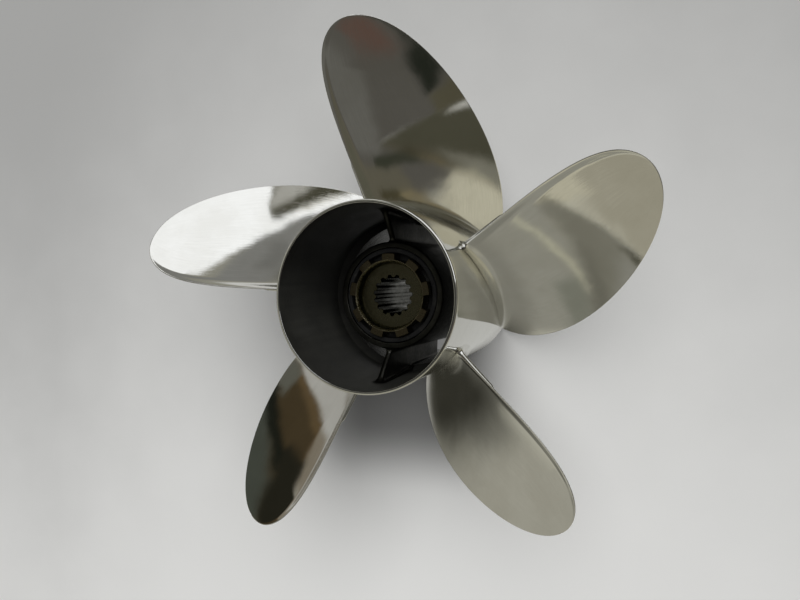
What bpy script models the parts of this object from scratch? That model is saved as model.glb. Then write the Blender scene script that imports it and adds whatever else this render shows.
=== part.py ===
"""A five-bladed, right-handed stainless boat propeller with its exhaust led out through the hub.

Metres, +Z up. The shaft axis is Z, and +Z points aft, the way the exhaust leaves. The propeller stands on
the front face of its barrel at Z = 0. Angles run from +X towards +Y, anticlockwise as seen from aft.
"""

from math import atan2, cos, hypot, pi, radians, sin, sqrt

import bmesh
import bpy

# Barrel: the outer tube that carries the blades
BARREL_LENGTH = 0.184
BARREL_RADIUS = 0.0583
RIM_WALL = 0.0014
RIM_BEVEL = 0.0010
RIM_DEPTH = 0.008
AFT_BORE = 0.0552
SHOULDER_AFT = 0.100
SHOULDER_FRONT = 0.093
SHOULDER_RADIUS = 0.0513
FRONT_BORE = 0.0506
FRONT_BEVEL = 0.0010

# Inner hub: the tube round the shaft, thicker towards the front where the mould draws
HUB_FRONT = 0.026
HUB_AFT = 0.134
HUB_AFT_RADIUS = 0.0360
HUB_FRONT_RADIUS = 0.0385
HUB_BORE = 0.0320
HUB_SEAT = 0.044
HUB_SHAFT_HOLE = 0.0205
HUB_BEVEL = 0.0006

# Ribs: two webs across the exhaust passage, in one plane through the axis
RIB_ANGLES = {"rib_upper": 88.0, "rib_lower": 268.0}
RIB_THICKNESS = 0.004
RIB_SWEEP = 0.019
RIB_GAP = 0.00045

# Drive parts inside the hub
FIT_GAP = 0.0003
SLEEVE_FRONT = HUB_SEAT + FIT_GAP
SLEEVE_RADIUS = HUB_BORE - FIT_GAP
SLEEVE_POCKET_RADIUS = 0.0286
SLEEVE_POCKET_DEPTH = 0.0075
ADAPTER_AFT = 0.139
ADAPTER_TUBE = 0.0240
LUG_COUNT = 9
LUG_PHASE = radians(10.5)
LUG_HALF_ANGLE = radians(9.5)
LUG_FLANK = radians(0.5)
LUG_RADIUS = 0.0282
LUG_ROOT_RADIUS = 0.0243
RECESS_RADIUS = 0.0227
RECESS_FLOOR_RADIUS = 0.0216
RECESS_DEPTH = 0.008
SPLINE_COUNT = 15
SPLINE_MAJOR = 0.0137
SPLINE_MINOR = 0.0120
GROOVE_END = 0.32
TOOTH_START = 0.50
TOOTH_END = 0.82

# Blades: the drive face is a helicoid, raked and swept
BLADE_COUNT = 5
BLADE_PHASE = radians(17.9)
BLADE_ROOT = BARREL_RADIUS + 2 * FIT_GAP
BLADE_TIP = 0.1778
PITCH = 0.694
PITCH_FALL = 0.129
MID_RADIUS = 0.110
MID_HEIGHT = 0.1227
RAKE = 0.411
RAKE_CURVE = 0.414
HALF_WIDTH_TERMS = (32.1, 2.0, -16.7, 10.1)
CENTRE_TERMS = (-17.4, 17.0, 16.5, -12.3)
ROOT_THICKNESS = 0.0075
TIP_THICKNESS = 0.0020
EDGE_THICKNESS = 0.0011
HEEL_THICKNESS = 0.0035
HEEL_END = 0.17
THICKNESS_FALL = 1.3
SECTION_FULLNESS = 0.8
CAMBER = 0.012
CUP = 0.0016
CUP_START = 0.90
CUP_AT_ROOT = 0.2
CUP_RUN = 0.25

TURNED_STEPS = 96
HUB_STEPS = 72
SMOOTH_BELOW = radians(35)
ROOT_STATIONS = (0, 0.06, 0.12, 0.165, 0.175)
OUTER_STATIONS = (0.25, 0.34, 0.43, 0.52, 0.61, 0.70, 0.78, 0.85, 0.91, 0.955, 0.985, 0.997)
CHORD_STATIONS = (0, 0.04, 0.12, 0.22, 0.34, 0.46, 0.58, 0.70, 0.81, 0.90, 0.96, 1.0)

MATERIALS = {
    "polished_stainless": ((0.63, 0.62, 0.59), 1.0, 0.12),
    "cast_stainless": ((0.30, 0.30, 0.28), 1.0, 0.45),
    "black_plastic": ((0.03, 0.03, 0.03), 0.0, 0.50),
    "bronze": ((0.45, 0.38, 0.24), 1.0, 0.35),
}


def clear_scene():
    for item in list(bpy.data.objects):
        bpy.data.objects.remove(item, do_unlink=True)


def make_material(name):
    colour, metallic, roughness = MATERIALS[name]
    material = bpy.data.materials.new(name)
    material.use_nodes = True
    shader = material.node_tree.nodes["Principled BSDF"]
    shader.inputs["Base Color"].default_value = (*colour, 1.0)
    shader.inputs["Metallic"].default_value = metallic
    shader.inputs["Roughness"].default_value = roughness
    return material


def add_object(name, bm, material, parent):
    """Turns the built shape into a named object, shaded smooth but for its real corners."""
    bmesh.ops.recalc_face_normals(bm, faces=bm.faces)
    mesh = bpy.data.meshes.new(name)
    bm.to_mesh(mesh)
    bm.free()
    mesh.materials.append(material)
    mesh.shade_smooth()
    mesh.set_sharp_from_angle(angle=SMOOTH_BELOW)
    item = bpy.data.objects.new(name, mesh)
    item.parent = parent
    bpy.context.scene.collection.objects.link(item)
    return item


def on_cylinder(radius, angle, height):
    return (radius * cos(angle), radius * sin(angle), height)


def turned(profile, steps):
    """A closed (radius, height) outline spun once round the axis."""
    bm = bmesh.new()
    points = [bm.verts.new((radius, 0, height)) for radius, height in profile]
    edges = [bm.edges.new((points[i - 1], points[i])) for i in range(len(points))]
    bmesh.ops.spin(
        bm,
        geom=points + edges,
        cent=(0, 0, 0),
        axis=(0, 0, 1),
        angle=2 * pi,
        steps=steps,
        use_merge=True,
    )
    return bm


def lofted(rings):
    """Closed rings of points joined each to the next, and the last to the first, like a tube's walls."""
    bm = bmesh.new()
    loops = [[bm.verts.new(point) for point in ring] for ring in rings]
    for i, loop in enumerate(loops):
        before = loops[i - 1]
        for j in range(len(loop)):
            bm.faces.new((before[j - 1], before[j], loop[j], loop[j - 1]))
    return bm


def barrel():
    rim = BARREL_LENGTH
    return turned(
        [
            (BARREL_RADIUS - FRONT_BEVEL, 0),
            (BARREL_RADIUS, FRONT_BEVEL),
            (BARREL_RADIUS, rim - 3 * RIM_BEVEL),
            (BARREL_RADIUS - RIM_BEVEL / 2, rim - RIM_BEVEL / 2),
            (BARREL_RADIUS - RIM_BEVEL, rim),
            (BARREL_RADIUS - RIM_WALL, rim),
            (AFT_BORE + RIM_BEVEL, rim - RIM_DEPTH),
            (AFT_BORE, SHOULDER_AFT),
            (SHOULDER_RADIUS, SHOULDER_FRONT),
            (SHOULDER_RADIUS, SHOULDER_FRONT - 2 * FRONT_BEVEL),
            (FRONT_BORE, FRONT_BEVEL),
            (FRONT_BORE + FRONT_BEVEL, 0),
        ],
        TURNED_STEPS,
    )


def inner_hub():
    return turned(
        [
            (HUB_SHAFT_HOLE + HUB_BEVEL, HUB_FRONT),
            (HUB_FRONT_RADIUS - HUB_BEVEL, HUB_FRONT),
            (HUB_FRONT_RADIUS, HUB_FRONT + HUB_BEVEL),
            (HUB_AFT_RADIUS, HUB_AFT - HUB_BEVEL),
            (HUB_AFT_RADIUS - HUB_BEVEL, HUB_AFT),
            (HUB_BORE + HUB_BEVEL, HUB_AFT),
            (HUB_BORE, HUB_AFT - HUB_BEVEL),
            (HUB_BORE, HUB_SEAT),
            (HUB_SHAFT_HOLE, HUB_SEAT),
            (HUB_SHAFT_HOLE, HUB_FRONT + HUB_BEVEL),
        ],
        HUB_STEPS,
    )


def barrel_bore_at(height):
    """The barrel's inside radius along the stretch that the ribs reach."""
    if height >= SHOULDER_AFT:
        top = BARREL_LENGTH - RIM_DEPTH
        return AFT_BORE + RIM_BEVEL * (height - SHOULDER_AFT) / (top - SHOULDER_AFT)
    if height >= SHOULDER_FRONT:
        share = (height - SHOULDER_FRONT) / (SHOULDER_AFT - SHOULDER_FRONT)
        return SHOULDER_RADIUS + share * (AFT_BORE - SHOULDER_RADIUS)
    return FRONT_BORE + (SHOULDER_RADIUS - FRONT_BORE) * height / SHOULDER_FRONT


def rib(angle):
    """A flat web from the hub to the barrel. Its aft edge sweeps aft towards the barrel."""
    top_outer = HUB_AFT + RIB_SWEEP
    heights = (top_outer, SHOULDER_AFT, SHOULDER_FRONT, HUB_FRONT)
    outline = [(HUB_AFT_RADIUS + FIT_GAP, HUB_AFT)]
    outline += [(barrel_bore_at(height) - RIB_GAP, height) for height in heights]
    outline += [(HUB_FRONT_RADIUS + FIT_GAP, HUB_FRONT)]
    half = RIB_THICKNESS / 2
    along = (cos(angle), sin(angle))
    across = (-sin(angle) * half, cos(angle) * half)
    bm = bmesh.new()
    face = bm.faces.new(
        [bm.verts.new((r * along[0] - across[0], r * along[1] - across[1], z)) for r, z in outline]
    )
    made = bmesh.ops.extrude_face_region(bm, geom=[face])
    moved = [item for item in made["geom"] if isinstance(item, bmesh.types.BMVert)]
    bmesh.ops.translate(bm, verts=moved, vec=(2 * across[0], 2 * across[1], 0))
    return bm


def drive_sleeve():
    pocket_floor = HUB_AFT - SLEEVE_POCKET_DEPTH
    return turned(
        [
            (ADAPTER_TUBE + FIT_GAP, SLEEVE_FRONT),
            (SLEEVE_RADIUS, SLEEVE_FRONT),
            (SLEEVE_RADIUS, HUB_AFT - HUB_BEVEL),
            (SLEEVE_RADIUS - HUB_BEVEL, HUB_AFT),
            (SLEEVE_POCKET_RADIUS, HUB_AFT),
            (SLEEVE_POCKET_RADIUS, pocket_floor),
            (ADAPTER_TUBE + FIT_GAP, pocket_floor),
        ],
        HUB_STEPS,
    )


def step_between(angle, stations):
    """The radius at this angle, from (angle, radius) stations in order, straight between each two."""
    for (first, low), (second, high) in zip(stations, stations[1:]):
        if first <= angle <= second:
            return low + (high - low) * (angle - first) / (second - first)
    return stations[-1][1]


def lug_stations():
    """The ring's outline along one lug and the notch after it, from the middle of the lug."""
    step = 2 * pi / LUG_COUNT
    return [
        (0, LUG_RADIUS),
        (LUG_HALF_ANGLE / 2, LUG_RADIUS),
        (LUG_HALF_ANGLE - LUG_FLANK, LUG_RADIUS),
        (LUG_HALF_ANGLE, LUG_ROOT_RADIUS),
        (step / 2, LUG_ROOT_RADIUS),
        (step - LUG_HALF_ANGLE, LUG_ROOT_RADIUS),
        (step - LUG_HALF_ANGLE + LUG_FLANK, LUG_RADIUS),
        (step - LUG_HALF_ANGLE / 2, LUG_RADIUS),
        (step, LUG_RADIUS),
    ]


def spline_stations():
    """The hole's outline along one groove and one tooth, each about a third of their share wide."""
    step = 2 * pi / SPLINE_COUNT
    return [
        (0, SPLINE_MAJOR),
        (GROOVE_END * step, SPLINE_MAJOR),
        (TOOTH_START * step, SPLINE_MINOR),
        (TOOTH_END * step, SPLINE_MINOR),
        (step, SPLINE_MAJOR),
    ]


def splined_adapter():
    """The lugs and the teeth share their angles, so that every ring has the same number of points."""
    lugs = lug_stations()
    teeth = spline_stations()
    lug_step = lugs[-1][0]
    tooth_step = teeth[-1][0]
    angles = set()
    for k in range(LUG_COUNT):
        angles |= {round((LUG_PHASE + k * lug_step + angle) % (2 * pi), 6) for angle, _ in lugs[:-1]}
    for k in range(SPLINE_COUNT):
        angles |= {round(k * tooth_step + angle, 6) for angle, _ in teeth[:-1]}
    angles = sorted(angles)
    bottom = SLEEVE_FRONT + FIT_GAP
    underside = HUB_AFT - SLEEVE_POCKET_DEPTH + FIT_GAP
    floor = ADAPTER_AFT - RECESS_DEPTH

    def ring(radius, height):
        return [on_cylinder(radius, angle, height) for angle in angles]

    def lug_ring(height):
        radii = [step_between((angle - LUG_PHASE) % lug_step, lugs) for angle in angles]
        return [on_cylinder(radius, angle, height) for radius, angle in zip(radii, angles)]

    def tooth_ring(height):
        radii = [step_between(angle % tooth_step, teeth) for angle in angles]
        return [on_cylinder(radius, angle, height) for radius, angle in zip(radii, angles)]

    return lofted(
        [
            lug_ring(ADAPTER_AFT),
            lug_ring(underside),
            ring(ADAPTER_TUBE, underside),
            ring(ADAPTER_TUBE, bottom),
            tooth_ring(bottom),
            tooth_ring(floor),
            ring(RECESS_FLOOR_RADIUS, floor),
            ring(RECESS_RADIUS, ADAPTER_AFT),
        ]
    )


def polynomial(terms, x):
    return sum(term * x**power for power, term in enumerate(terms))


def blade_edges(span):
    """The angles of the leading and the trailing edge, at a share of the way from root to tip."""
    half = sqrt(max(0.0, 1 - span)) * radians(polynomial(HALF_WIDTH_TERMS, span))
    centre = radians(polynomial(CENTRE_TERMS, span))
    return centre - half, centre + half


def drive_face_height(radius, angle):
    """The height of the raked helicoid that the blade's edges lie on."""
    out = radius - MID_RADIUS
    pitch = PITCH / (2 * pi) * (1 - PITCH_FALL * out / MID_RADIUS)
    return MID_HEIGHT + pitch * angle + RAKE * out + RAKE_CURVE * out * out


def blade_thickness(span, chord):
    """Thickest near the middle of the chord, with a heavy heel at the root of the trailing edge."""
    thickest = TIP_THICKNESS + (ROOT_THICKNESS - TIP_THICKNESS) * (1 - span) ** THICKNESS_FALL
    edge = EDGE_THICKNESS
    if span < HEEL_END and chord > 0.5:
        edge += (HEEL_THICKNESS - EDGE_THICKNESS) * (2 * chord - 1)
    return edge + max(0.0, thickest - edge) * sin(pi * chord) ** SECTION_FULLNESS


def face_hollow(width, span, chord):
    """How far the drive face lies forward of the helicoid: its camber, and the run up to the cup."""
    cup = CUP * min(1.0, (1 - span) / CUP_RUN, CUP_AT_ROOT + span / CUP_RUN)
    if chord < CUP_START:
        rise = chord / CUP_START
    else:
        rise = (1 + cos(pi * (chord - CUP_START) / (1 - CUP_START))) / 2
    return CAMBER * width * 4 * chord * (1 - chord) + cup * rise


def blade_section(span):
    """Points along the drive face and along the back, from the leading to the trailing edge."""
    radius = BLADE_ROOT + span * (BLADE_TIP - BLADE_ROOT)
    leading, trailing = blade_edges(span)
    rise = drive_face_height(radius, trailing) - drive_face_height(radius, leading)
    run = radius * (trailing - leading)
    width = hypot(rise, run)
    slope = atan2(rise, run)
    sides = []
    for on_back in (False, True):
        points = []
        for chord in CHORD_STATIONS:
            angle = leading + chord * (trailing - leading)
            depth = face_hollow(width, span, chord)
            if on_back:
                depth += blade_thickness(span, chord)
            height = drive_face_height(radius, angle) - depth * cos(slope)
            points.append(on_cylinder(radius, angle + depth * sin(slope) / radius, height))
        sides.append(points)
    return sides


def blade():
    """One blade, with its root on the barrel's surface and its tip closed by a narrow strip."""
    bm = bmesh.new()
    stations = []
    for span in ROOT_STATIONS + OUTER_STATIONS:
        stations.append([[bm.verts.new(point) for point in side] for side in blade_section(span)])
    last = len(CHORD_STATIONS) - 1
    for (face_a, back_a), (face_b, back_b) in zip(stations, stations[1:]):
        for j in range(last):
            bm.faces.new((face_a[j], face_a[j + 1], face_b[j + 1], face_b[j]))
            bm.faces.new((back_a[j + 1], back_a[j], back_b[j], back_b[j + 1]))
        bm.faces.new((face_a[last], back_a[last], back_b[last], face_b[last]))
        bm.faces.new((back_a[0], face_a[0], face_b[0], back_b[0]))
    for face, back in (stations[0], stations[-1]):
        for j in range(last):
            bm.faces.new((face[j], back[j], back[j + 1], face[j + 1]))
    return bm


def build():
    clear_scene()
    materials = {name: make_material(name) for name in MATERIALS}
    axis = bpy.data.objects.new("shaft_axis", None)
    bpy.context.scene.collection.objects.link(axis)
    add_object("barrel", barrel(), materials["polished_stainless"], axis)
    add_object("inner_hub", inner_hub(), materials["cast_stainless"], axis)
    for name, angle in RIB_ANGLES.items():
        add_object(name, rib(radians(angle)), materials["cast_stainless"], axis)
    add_object("drive_sleeve", drive_sleeve(), materials["black_plastic"], axis)
    add_object("splined_adapter", splined_adapter(), materials["bronze"], axis)
    for k in range(BLADE_COUNT):
        item = add_object(f"blade_{k + 1}", blade(), materials["polished_stainless"], axis)
        item.rotation_euler.z = BLADE_PHASE + 2 * pi * k / BLADE_COUNT


build()
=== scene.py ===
"""A five-bladed stainless boat propeller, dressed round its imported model.

Metres, +Z up. The shaft axis is Z, and +Z points aft, towards the exhaust outlet. Angles run from +X
towards +Y, anticlockwise as seen from aft.
"""

from math import acos, atan, cos, hypot, pi, radians, sin, sqrt, tan

import bmesh
import bpy
from mathutils import Matrix, Vector


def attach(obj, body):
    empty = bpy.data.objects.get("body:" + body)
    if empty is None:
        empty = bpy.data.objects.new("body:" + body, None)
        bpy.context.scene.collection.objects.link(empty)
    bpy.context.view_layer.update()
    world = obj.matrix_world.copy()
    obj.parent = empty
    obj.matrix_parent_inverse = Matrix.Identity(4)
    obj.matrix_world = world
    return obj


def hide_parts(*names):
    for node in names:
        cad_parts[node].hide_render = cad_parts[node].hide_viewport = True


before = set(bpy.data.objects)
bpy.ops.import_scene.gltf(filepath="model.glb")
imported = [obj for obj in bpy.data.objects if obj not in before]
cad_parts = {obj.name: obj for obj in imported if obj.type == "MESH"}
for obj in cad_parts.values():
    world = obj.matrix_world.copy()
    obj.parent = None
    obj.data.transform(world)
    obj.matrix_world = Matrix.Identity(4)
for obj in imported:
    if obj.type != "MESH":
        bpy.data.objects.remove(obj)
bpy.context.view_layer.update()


# THE BARREL
# The outer tube of the casting: stainless steel, polished outside and at the rim. Exhaust soot has left
# the bore dark. Half-way in, the bore steps down to the thicker wall that carries the blades.

BARREL_RADIUS = 0.0583
BARREL_LENGTH = 0.184
RIM_BEAD = 0.0002
RIM_BEAD_LENGTH = 0.0045
RIM_BEAD_RAMP = 0.0008
RIM_FACE = 0.0565
RIM_DEPTH = 0.008
AFT_BORE = 0.0552
AFT_BORE_MOUTH = 0.0562
SHOULDER_AFT = 0.100
SHOULDER_LEAD = 0.004
SHOULDER_FRONT = 0.093
SHOULDER_RADIUS = 0.0513
FRONT_BORE = 0.0506
POLISHED_BEYOND = 0.0571
POLISHED_RIM_DEPTH = 0.0006
SOOT_PAST_SHOULDER = 0.001
TURNED_STEPS = 288
CORNER_STEPS = 6
SMOOTH_BELOW = radians(40)

NOISE_LOW = 0.3
NOISE_HIGH = 0.7
CLOUD_LOW = 0.35
BRIGHT_STEEL = (0.725, 0.72, 0.69)
CLOUDED_STEEL = (0.665, 0.657, 0.62)
STREAKED_STEEL = (0.60, 0.595, 0.56)
STREAK_SHARE = 0.4
MIRROR_ROUGHNESS = 0.035
CLOUD_ROUGHNESS = 0.03
STREAK_ROUGHNESS = 0.025
GRAIN_HEIGHT = 0.035
QUICK_WAVES = 0.2
BARREL_STROKES = (90.0, 90.0, 900.0)
SOOT = (0.058, 0.058, 0.053)
WORN_SOOT = (0.135, 0.135, 0.118)
SOOT_IN_PAINTED_SHADE = (0.012, 0.012, 0.011)
SOOT_SHADE_SHARE = 0.55
SOOT_STREAKS = (220.0, 220.0, 14.0)
SOOT_ROUGHNESS = 0.30
WORN_ROUGHNESS = 0.16
TURNED_STEEL = (0.34, 0.34, 0.325)
STAINED_STEEL = (0.20, 0.20, 0.19)
TOOL_RINGS = (3.0, 3.0, 2400.0)
TURNED_ROUGHNESS = (0.18, 0.30)


def node_tree(name, ins, outs, kind="ShaderNodeTree"):
    """An empty node group. Its inputs and outputs are given as {name: type}."""
    tree = bpy.data.node_groups.new(name, kind)
    for in_out, sockets in (("INPUT", ins), ("OUTPUT", outs)):
        for title, socket_kind in sockets.items():
            tree.interface.new_socket(title, in_out=in_out, socket_type=f"NodeSocket{socket_kind}")
    return tree


def feed(tree, socket, value):
    """Links the socket to a node's output, or sets its own value. A colour is three numbers."""
    if isinstance(value, bpy.types.NodeSocket):
        tree.links.new(value, socket)
    else:
        socket.default_value = (*value, 1.0) if socket.type == "RGBA" else value


def add_node(tree, kind, settings=None, **inputs):
    """A node with its settings, and each named input fed."""
    node = tree.nodes.new(kind)
    for key, value in (settings or {}).items():
        setattr(node, key, value)
    for key, value in inputs.items():
        feed(tree, node.inputs[key.replace("_", " ")], value)
    return node


def calculate(tree, operation, *values, clamp=False):
    node = add_node(tree, "ShaderNodeMath", {"operation": operation, "use_clamp": clamp})
    for socket, value in zip(node.inputs, values):
        feed(tree, socket, value)
    return node.outputs[0]


def blend_colour(tree, share, first, second):
    """A Mix node, whose colour sockets are inputs 6 and 7 and output 2."""
    mix = add_node(tree, "ShaderNodeMix", {"data_type": "RGBA"})
    for number, value in ((0, share), (6, first), (7, second)):
        feed(tree, mix.inputs[number], value)
    return mix.outputs[2]


def remap(tree, value, low, high, new_low, new_high):
    """Eases from new_low to new_high while the value goes from low to high."""
    node = add_node(
        tree,
        "ShaderNodeMapRange",
        {"interpolation_type": "SMOOTHSTEP"},
        Value=value,
        From_Min=low,
        From_Max=high,
        To_Min=new_low,
        To_Max=new_high,
    )
    return node.outputs["Result"]


def noise(tree, vector, scale, detail=3.0, roughness=0.5):
    node = add_node(tree, "ShaderNodeTexNoise", Vector=vector, Scale=scale, Detail=detail)
    feed(tree, node.inputs["Roughness"], roughness)
    return node.outputs["Fac"]


def split(tree, vector):
    return add_node(tree, "ShaderNodeSeparateXYZ", Vector=vector).outputs


def stretched(tree, vector, factors):
    return add_node(tree, "ShaderNodeMapping", Vector=vector, Scale=factors).outputs[0]


def bump(tree, shader, height, distance, strength):
    node = add_node(tree, "ShaderNodeBump", Height=height, Distance=distance, Strength=strength)
    tree.links.new(node.outputs["Normal"], shader.inputs["Normal"])


def polishing_group():
    """Hand polishing: soft waves left by the wheel, fine grain along the strokes, and cloudy patches."""
    tree = node_tree(
        "hand_polishing",
        {"Surface": "Vector", "Strokes": "Vector", "Grain": "Float"},
        {"Height": "Float", "Cloud": "Float", "Streak": "Float"},
    )
    given = tree.nodes.new("NodeGroupInput").outputs
    results = tree.nodes.new("NodeGroupOutput").inputs
    slow = noise(tree, given["Surface"], scale=16.0, detail=1.0, roughness=0.4)
    quick = noise(tree, given["Surface"], scale=55.0, detail=1.0, roughness=0.4)
    waves = calculate(tree, "MULTIPLY_ADD", quick, QUICK_WAVES, slow)
    streak = noise(tree, given["Strokes"], scale=1.0, detail=4.0, roughness=0.6)
    grain = calculate(tree, "MULTIPLY", streak, given["Grain"])
    cloud = noise(tree, given["Surface"], scale=30.0, detail=4.0, roughness=0.6)
    tree.links.new(calculate(tree, "ADD", waves, grain), results["Height"])
    tree.links.new(remap(tree, cloud, CLOUD_LOW, NOISE_HIGH, 0.0, 1.0), results["Cloud"])
    tree.links.new(remap(tree, streak, NOISE_LOW, NOISE_HIGH, 0.0, 1.0), results["Streak"])
    return tree


def patches_group():
    """Patches of soot, stain, dust or tarnish: cloudy noise, eased from 0 at Low to 1 at High."""
    sizes = dict.fromkeys(("Scale", "Detail", "Roughness", "Low", "High"), "Float")
    tree = node_tree("weathered_patches", {"Surface": "Vector", **sizes}, {"Patch": "Float"})
    given = tree.nodes.new("NodeGroupInput").outputs
    cloudy = noise(tree, given["Surface"], given["Scale"], given["Detail"], given["Roughness"])
    patch = remap(tree, cloudy, given["Low"], given["High"], 0.0, 1.0)
    tree.links.new(patch, tree.nodes.new("NodeGroupOutput").inputs["Patch"])
    return tree


polishing = polishing_group()
weathering = patches_group()


def patches(tree, surface, scale, detail, roughness, low=CLOUD_LOW, high=NOISE_HIGH):
    """How far the weathering covers this spot, from 0 to 1."""
    sizes = {"Scale": scale, "Detail": detail, "Roughness": roughness, "Low": low, "High": high}
    node = add_node(tree, "ShaderNodeGroup", {"node_tree": weathering}, Surface=surface, **sizes)
    return node.outputs["Patch"]


def new_material(name, metallic=1.0):
    """A material with a Principled shader, its tree and the piece's own Object coordinates."""
    material = bpy.data.materials.new(name)
    material.use_nodes = True
    tree = material.node_tree
    shader = tree.nodes["Principled BSDF"]
    shader.inputs["Metallic"].default_value = metallic
    place = tree.nodes.new("ShaderNodeTexCoord").outputs["Object"]
    return material, tree, shader, place


def polished_steel(name, factors, uv_map=None, left_satin=None):
    """Mirror-polished stainless. Its strokes follow the UV map or, without one, Object coordinates.

    left_satin makes the steel rougher where the polishing wheel doesn't reach.
    """
    material, tree, shader, place = new_material(name)
    along = place
    if uv_map:
        along = add_node(tree, "ShaderNodeUVMap", {"uv_map": uv_map}).outputs[0]
    marks = add_node(
        tree,
        "ShaderNodeGroup",
        {"node_tree": polishing},
        Surface=place,
        Strokes=stretched(tree, along, factors),
        Grain=GRAIN_HEIGHT,
    )
    cloud, streak = marks.outputs["Cloud"], marks.outputs["Streak"]
    colour = blend_colour(tree, cloud, BRIGHT_STEEL, CLOUDED_STEEL)
    streaks = calculate(tree, "MULTIPLY", streak, STREAK_SHARE)
    tree.links.new(blend_colour(tree, streaks, colour, STREAKED_STEEL), shader.inputs["Base Color"])
    soft = calculate(tree, "MULTIPLY_ADD", cloud, CLOUD_ROUGHNESS, MIRROR_ROUGHNESS)
    soft = calculate(tree, "MULTIPLY_ADD", streak, STREAK_ROUGHNESS, soft)
    if left_satin:
        soft = left_satin(tree, along, cloud, soft)
    tree.links.new(soft, shader.inputs["Roughness"])
    bump(tree, shader, marks.outputs["Height"], distance=0.0009, strength=0.6)
    return material


def sooty_bore():
    """The bore's satin skin: dark with dried soot, darker still towards +Y in painted shade, and worn in thin
    axial streaks.
    """
    material, tree, shader, place = new_material("sooty_bore", metallic=0.6)
    patch = patches(tree, place, scale=26.0, detail=5.0, roughness=0.6, low=NOISE_LOW)
    streaks = noise(tree, stretched(tree, place, SOOT_STREAKS), scale=1.0)
    soot = blend_colour(tree, calculate(tree, "MULTIPLY", patch, streaks), SOOT, WORN_SOOT)
    # Painted shade: the soot colour darkens towards +Y, where the bore lies in shade.
    thick = remap(tree, split(tree, place)["Y"], -AFT_BORE, AFT_BORE, 0.0, SOOT_SHADE_SHARE)
    tree.links.new(blend_colour(tree, thick, soot, SOOT_IN_PAINTED_SHADE), shader.inputs["Base Color"])
    soft = calculate(tree, "MULTIPLY_ADD", patch, WORN_ROUGHNESS, SOOT_ROUGHNESS)
    tree.links.new(soft, shader.inputs["Roughness"])
    bump(tree, shader, noise(tree, place, scale=900.0, detail=2.0), distance=0.0002, strength=0.4)
    return material


def machined_bore():
    """The front bore, turned bright: fine rings left by the tool."""
    material, tree, shader, place = new_material("machined_bore")
    rings = noise(tree, stretched(tree, place, TOOL_RINGS), scale=1.0, detail=2.0)
    stains = patches(tree, place, scale=40.0, detail=4.0, roughness=0.5)
    tree.links.new(blend_colour(tree, stains, TURNED_STEEL, STAINED_STEEL), shader.inputs["Base Color"])
    soft = remap(tree, rings, NOISE_LOW, NOISE_HIGH, *TURNED_ROUGHNESS)
    tree.links.new(soft, shader.inputs["Roughness"])
    bump(tree, shader, rings, distance=0.00005, strength=0.5)
    return material


def rounded(corners):
    """A closed outline with rounded corners, from points as (radius, height, corner radius)."""
    outline = []
    for i, (x, y, size) in enumerate(corners):
        here = Vector((x, y))
        before = (Vector(corners[i - 1][:2]) - here).normalized()
        after = (Vector(corners[(i + 1) % len(corners)][:2]) - here).normalized()
        half = acos(max(-1.0, min(1.0, before.dot(after)))) / 2
        middle = here + (before + after).normalized() * (size / sin(half))
        start = here + before * (size / tan(half)) - middle
        turn = start.angle_signed(here + after * (size / tan(half)) - middle)
        for step in range(CORNER_STEPS + 1):
            spoke = start.copy()
            spoke.rotate(Matrix.Rotation(-turn * step / CORNER_STEPS, 2))
            outline.append(tuple(middle + spoke))
    return outline


def turned(name, outline, materials, finish_at=None):
    """The outline spun round the shaft axis. finish_at picks a face's material by its radius and height."""
    bm = bmesh.new()
    rings = []
    for step in range(TURNED_STEPS):
        angle = 2 * pi * step / TURNED_STEPS
        rings.append([bm.verts.new((r * cos(angle), r * sin(angle), z)) for r, z in outline])
    for ring, after in zip(rings, rings[1:] + rings[:1]):
        for j in range(len(outline)):
            face = bm.faces.new((ring[j - 1], ring[j], after[j], after[j - 1]))
            if finish_at:
                middle = face.calc_center_median()
                face.material_index = finish_at(middle.xy.length, middle.z)
    return finished(name, bm, materials)


def mesh_of(name, bm):
    mesh = bpy.data.meshes.new(name)
    bm.to_mesh(mesh)
    bm.free()
    return mesh


def put_in_scene(name, data):
    thing = bpy.data.objects.new(name, data)
    bpy.context.scene.collection.objects.link(thing)
    return thing


def finished(name, bm, materials):
    """A built shape as a smooth object with its faces outwards."""
    bmesh.ops.recalc_face_normals(bm, faces=bm.faces)
    mesh = mesh_of(name, bm)
    for material in materials:
        mesh.materials.append(material)
    mesh.shade_smooth()
    mesh.set_sharp_from_angle(angle=SMOOTH_BELOW)
    return put_in_scene(name, mesh)


def fit(piece, node):
    """Has the piece stand in for its node, which it hides, and ride on the root body."""
    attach(piece, "root")
    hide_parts(node)


def barrel_outline():
    """From the front end up the outside, over the rim and back down the bore."""
    rim = BARREL_LENGTH
    bead = BARREL_RADIUS + RIM_BEAD
    return rounded(
        [
            (BARREL_RADIUS, 0.0, 0.0008),
            (BARREL_RADIUS, rim - RIM_BEAD_LENGTH - RIM_BEAD_RAMP, 0.001),
            (bead, rim - RIM_BEAD_LENGTH, 0.0006),
            (bead, rim, 0.0013),
            (RIM_FACE, rim, 0.0004),
            (AFT_BORE_MOUTH, rim - RIM_DEPTH, 0.004),
            (AFT_BORE, SHOULDER_AFT + SHOULDER_LEAD, 0.002),
            (AFT_BORE, SHOULDER_AFT, 0.0015),
            (SHOULDER_RADIUS, SHOULDER_FRONT, 0.0012),
            (FRONT_BORE, 0.0, 0.0008),
        ]
    )


def barrel_finish(radius, height):
    """Polished outside and on the rim (0), sooty in the aft bore (1) and turned in the front one (2)."""
    if radius > POLISHED_BEYOND or height > BARREL_LENGTH - POLISHED_RIM_DEPTH:
        return 0
    return 1 if height > SHOULDER_FRONT - SOOT_PAST_SHOULDER else 2


barrel_finishes = [polished_steel("polished_barrel", BARREL_STROKES), sooty_bore(), machined_bore()]
barrel = turned("barrel_polished", barrel_outline(), barrel_finishes, barrel_finish)
fit(barrel, "barrel")


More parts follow.
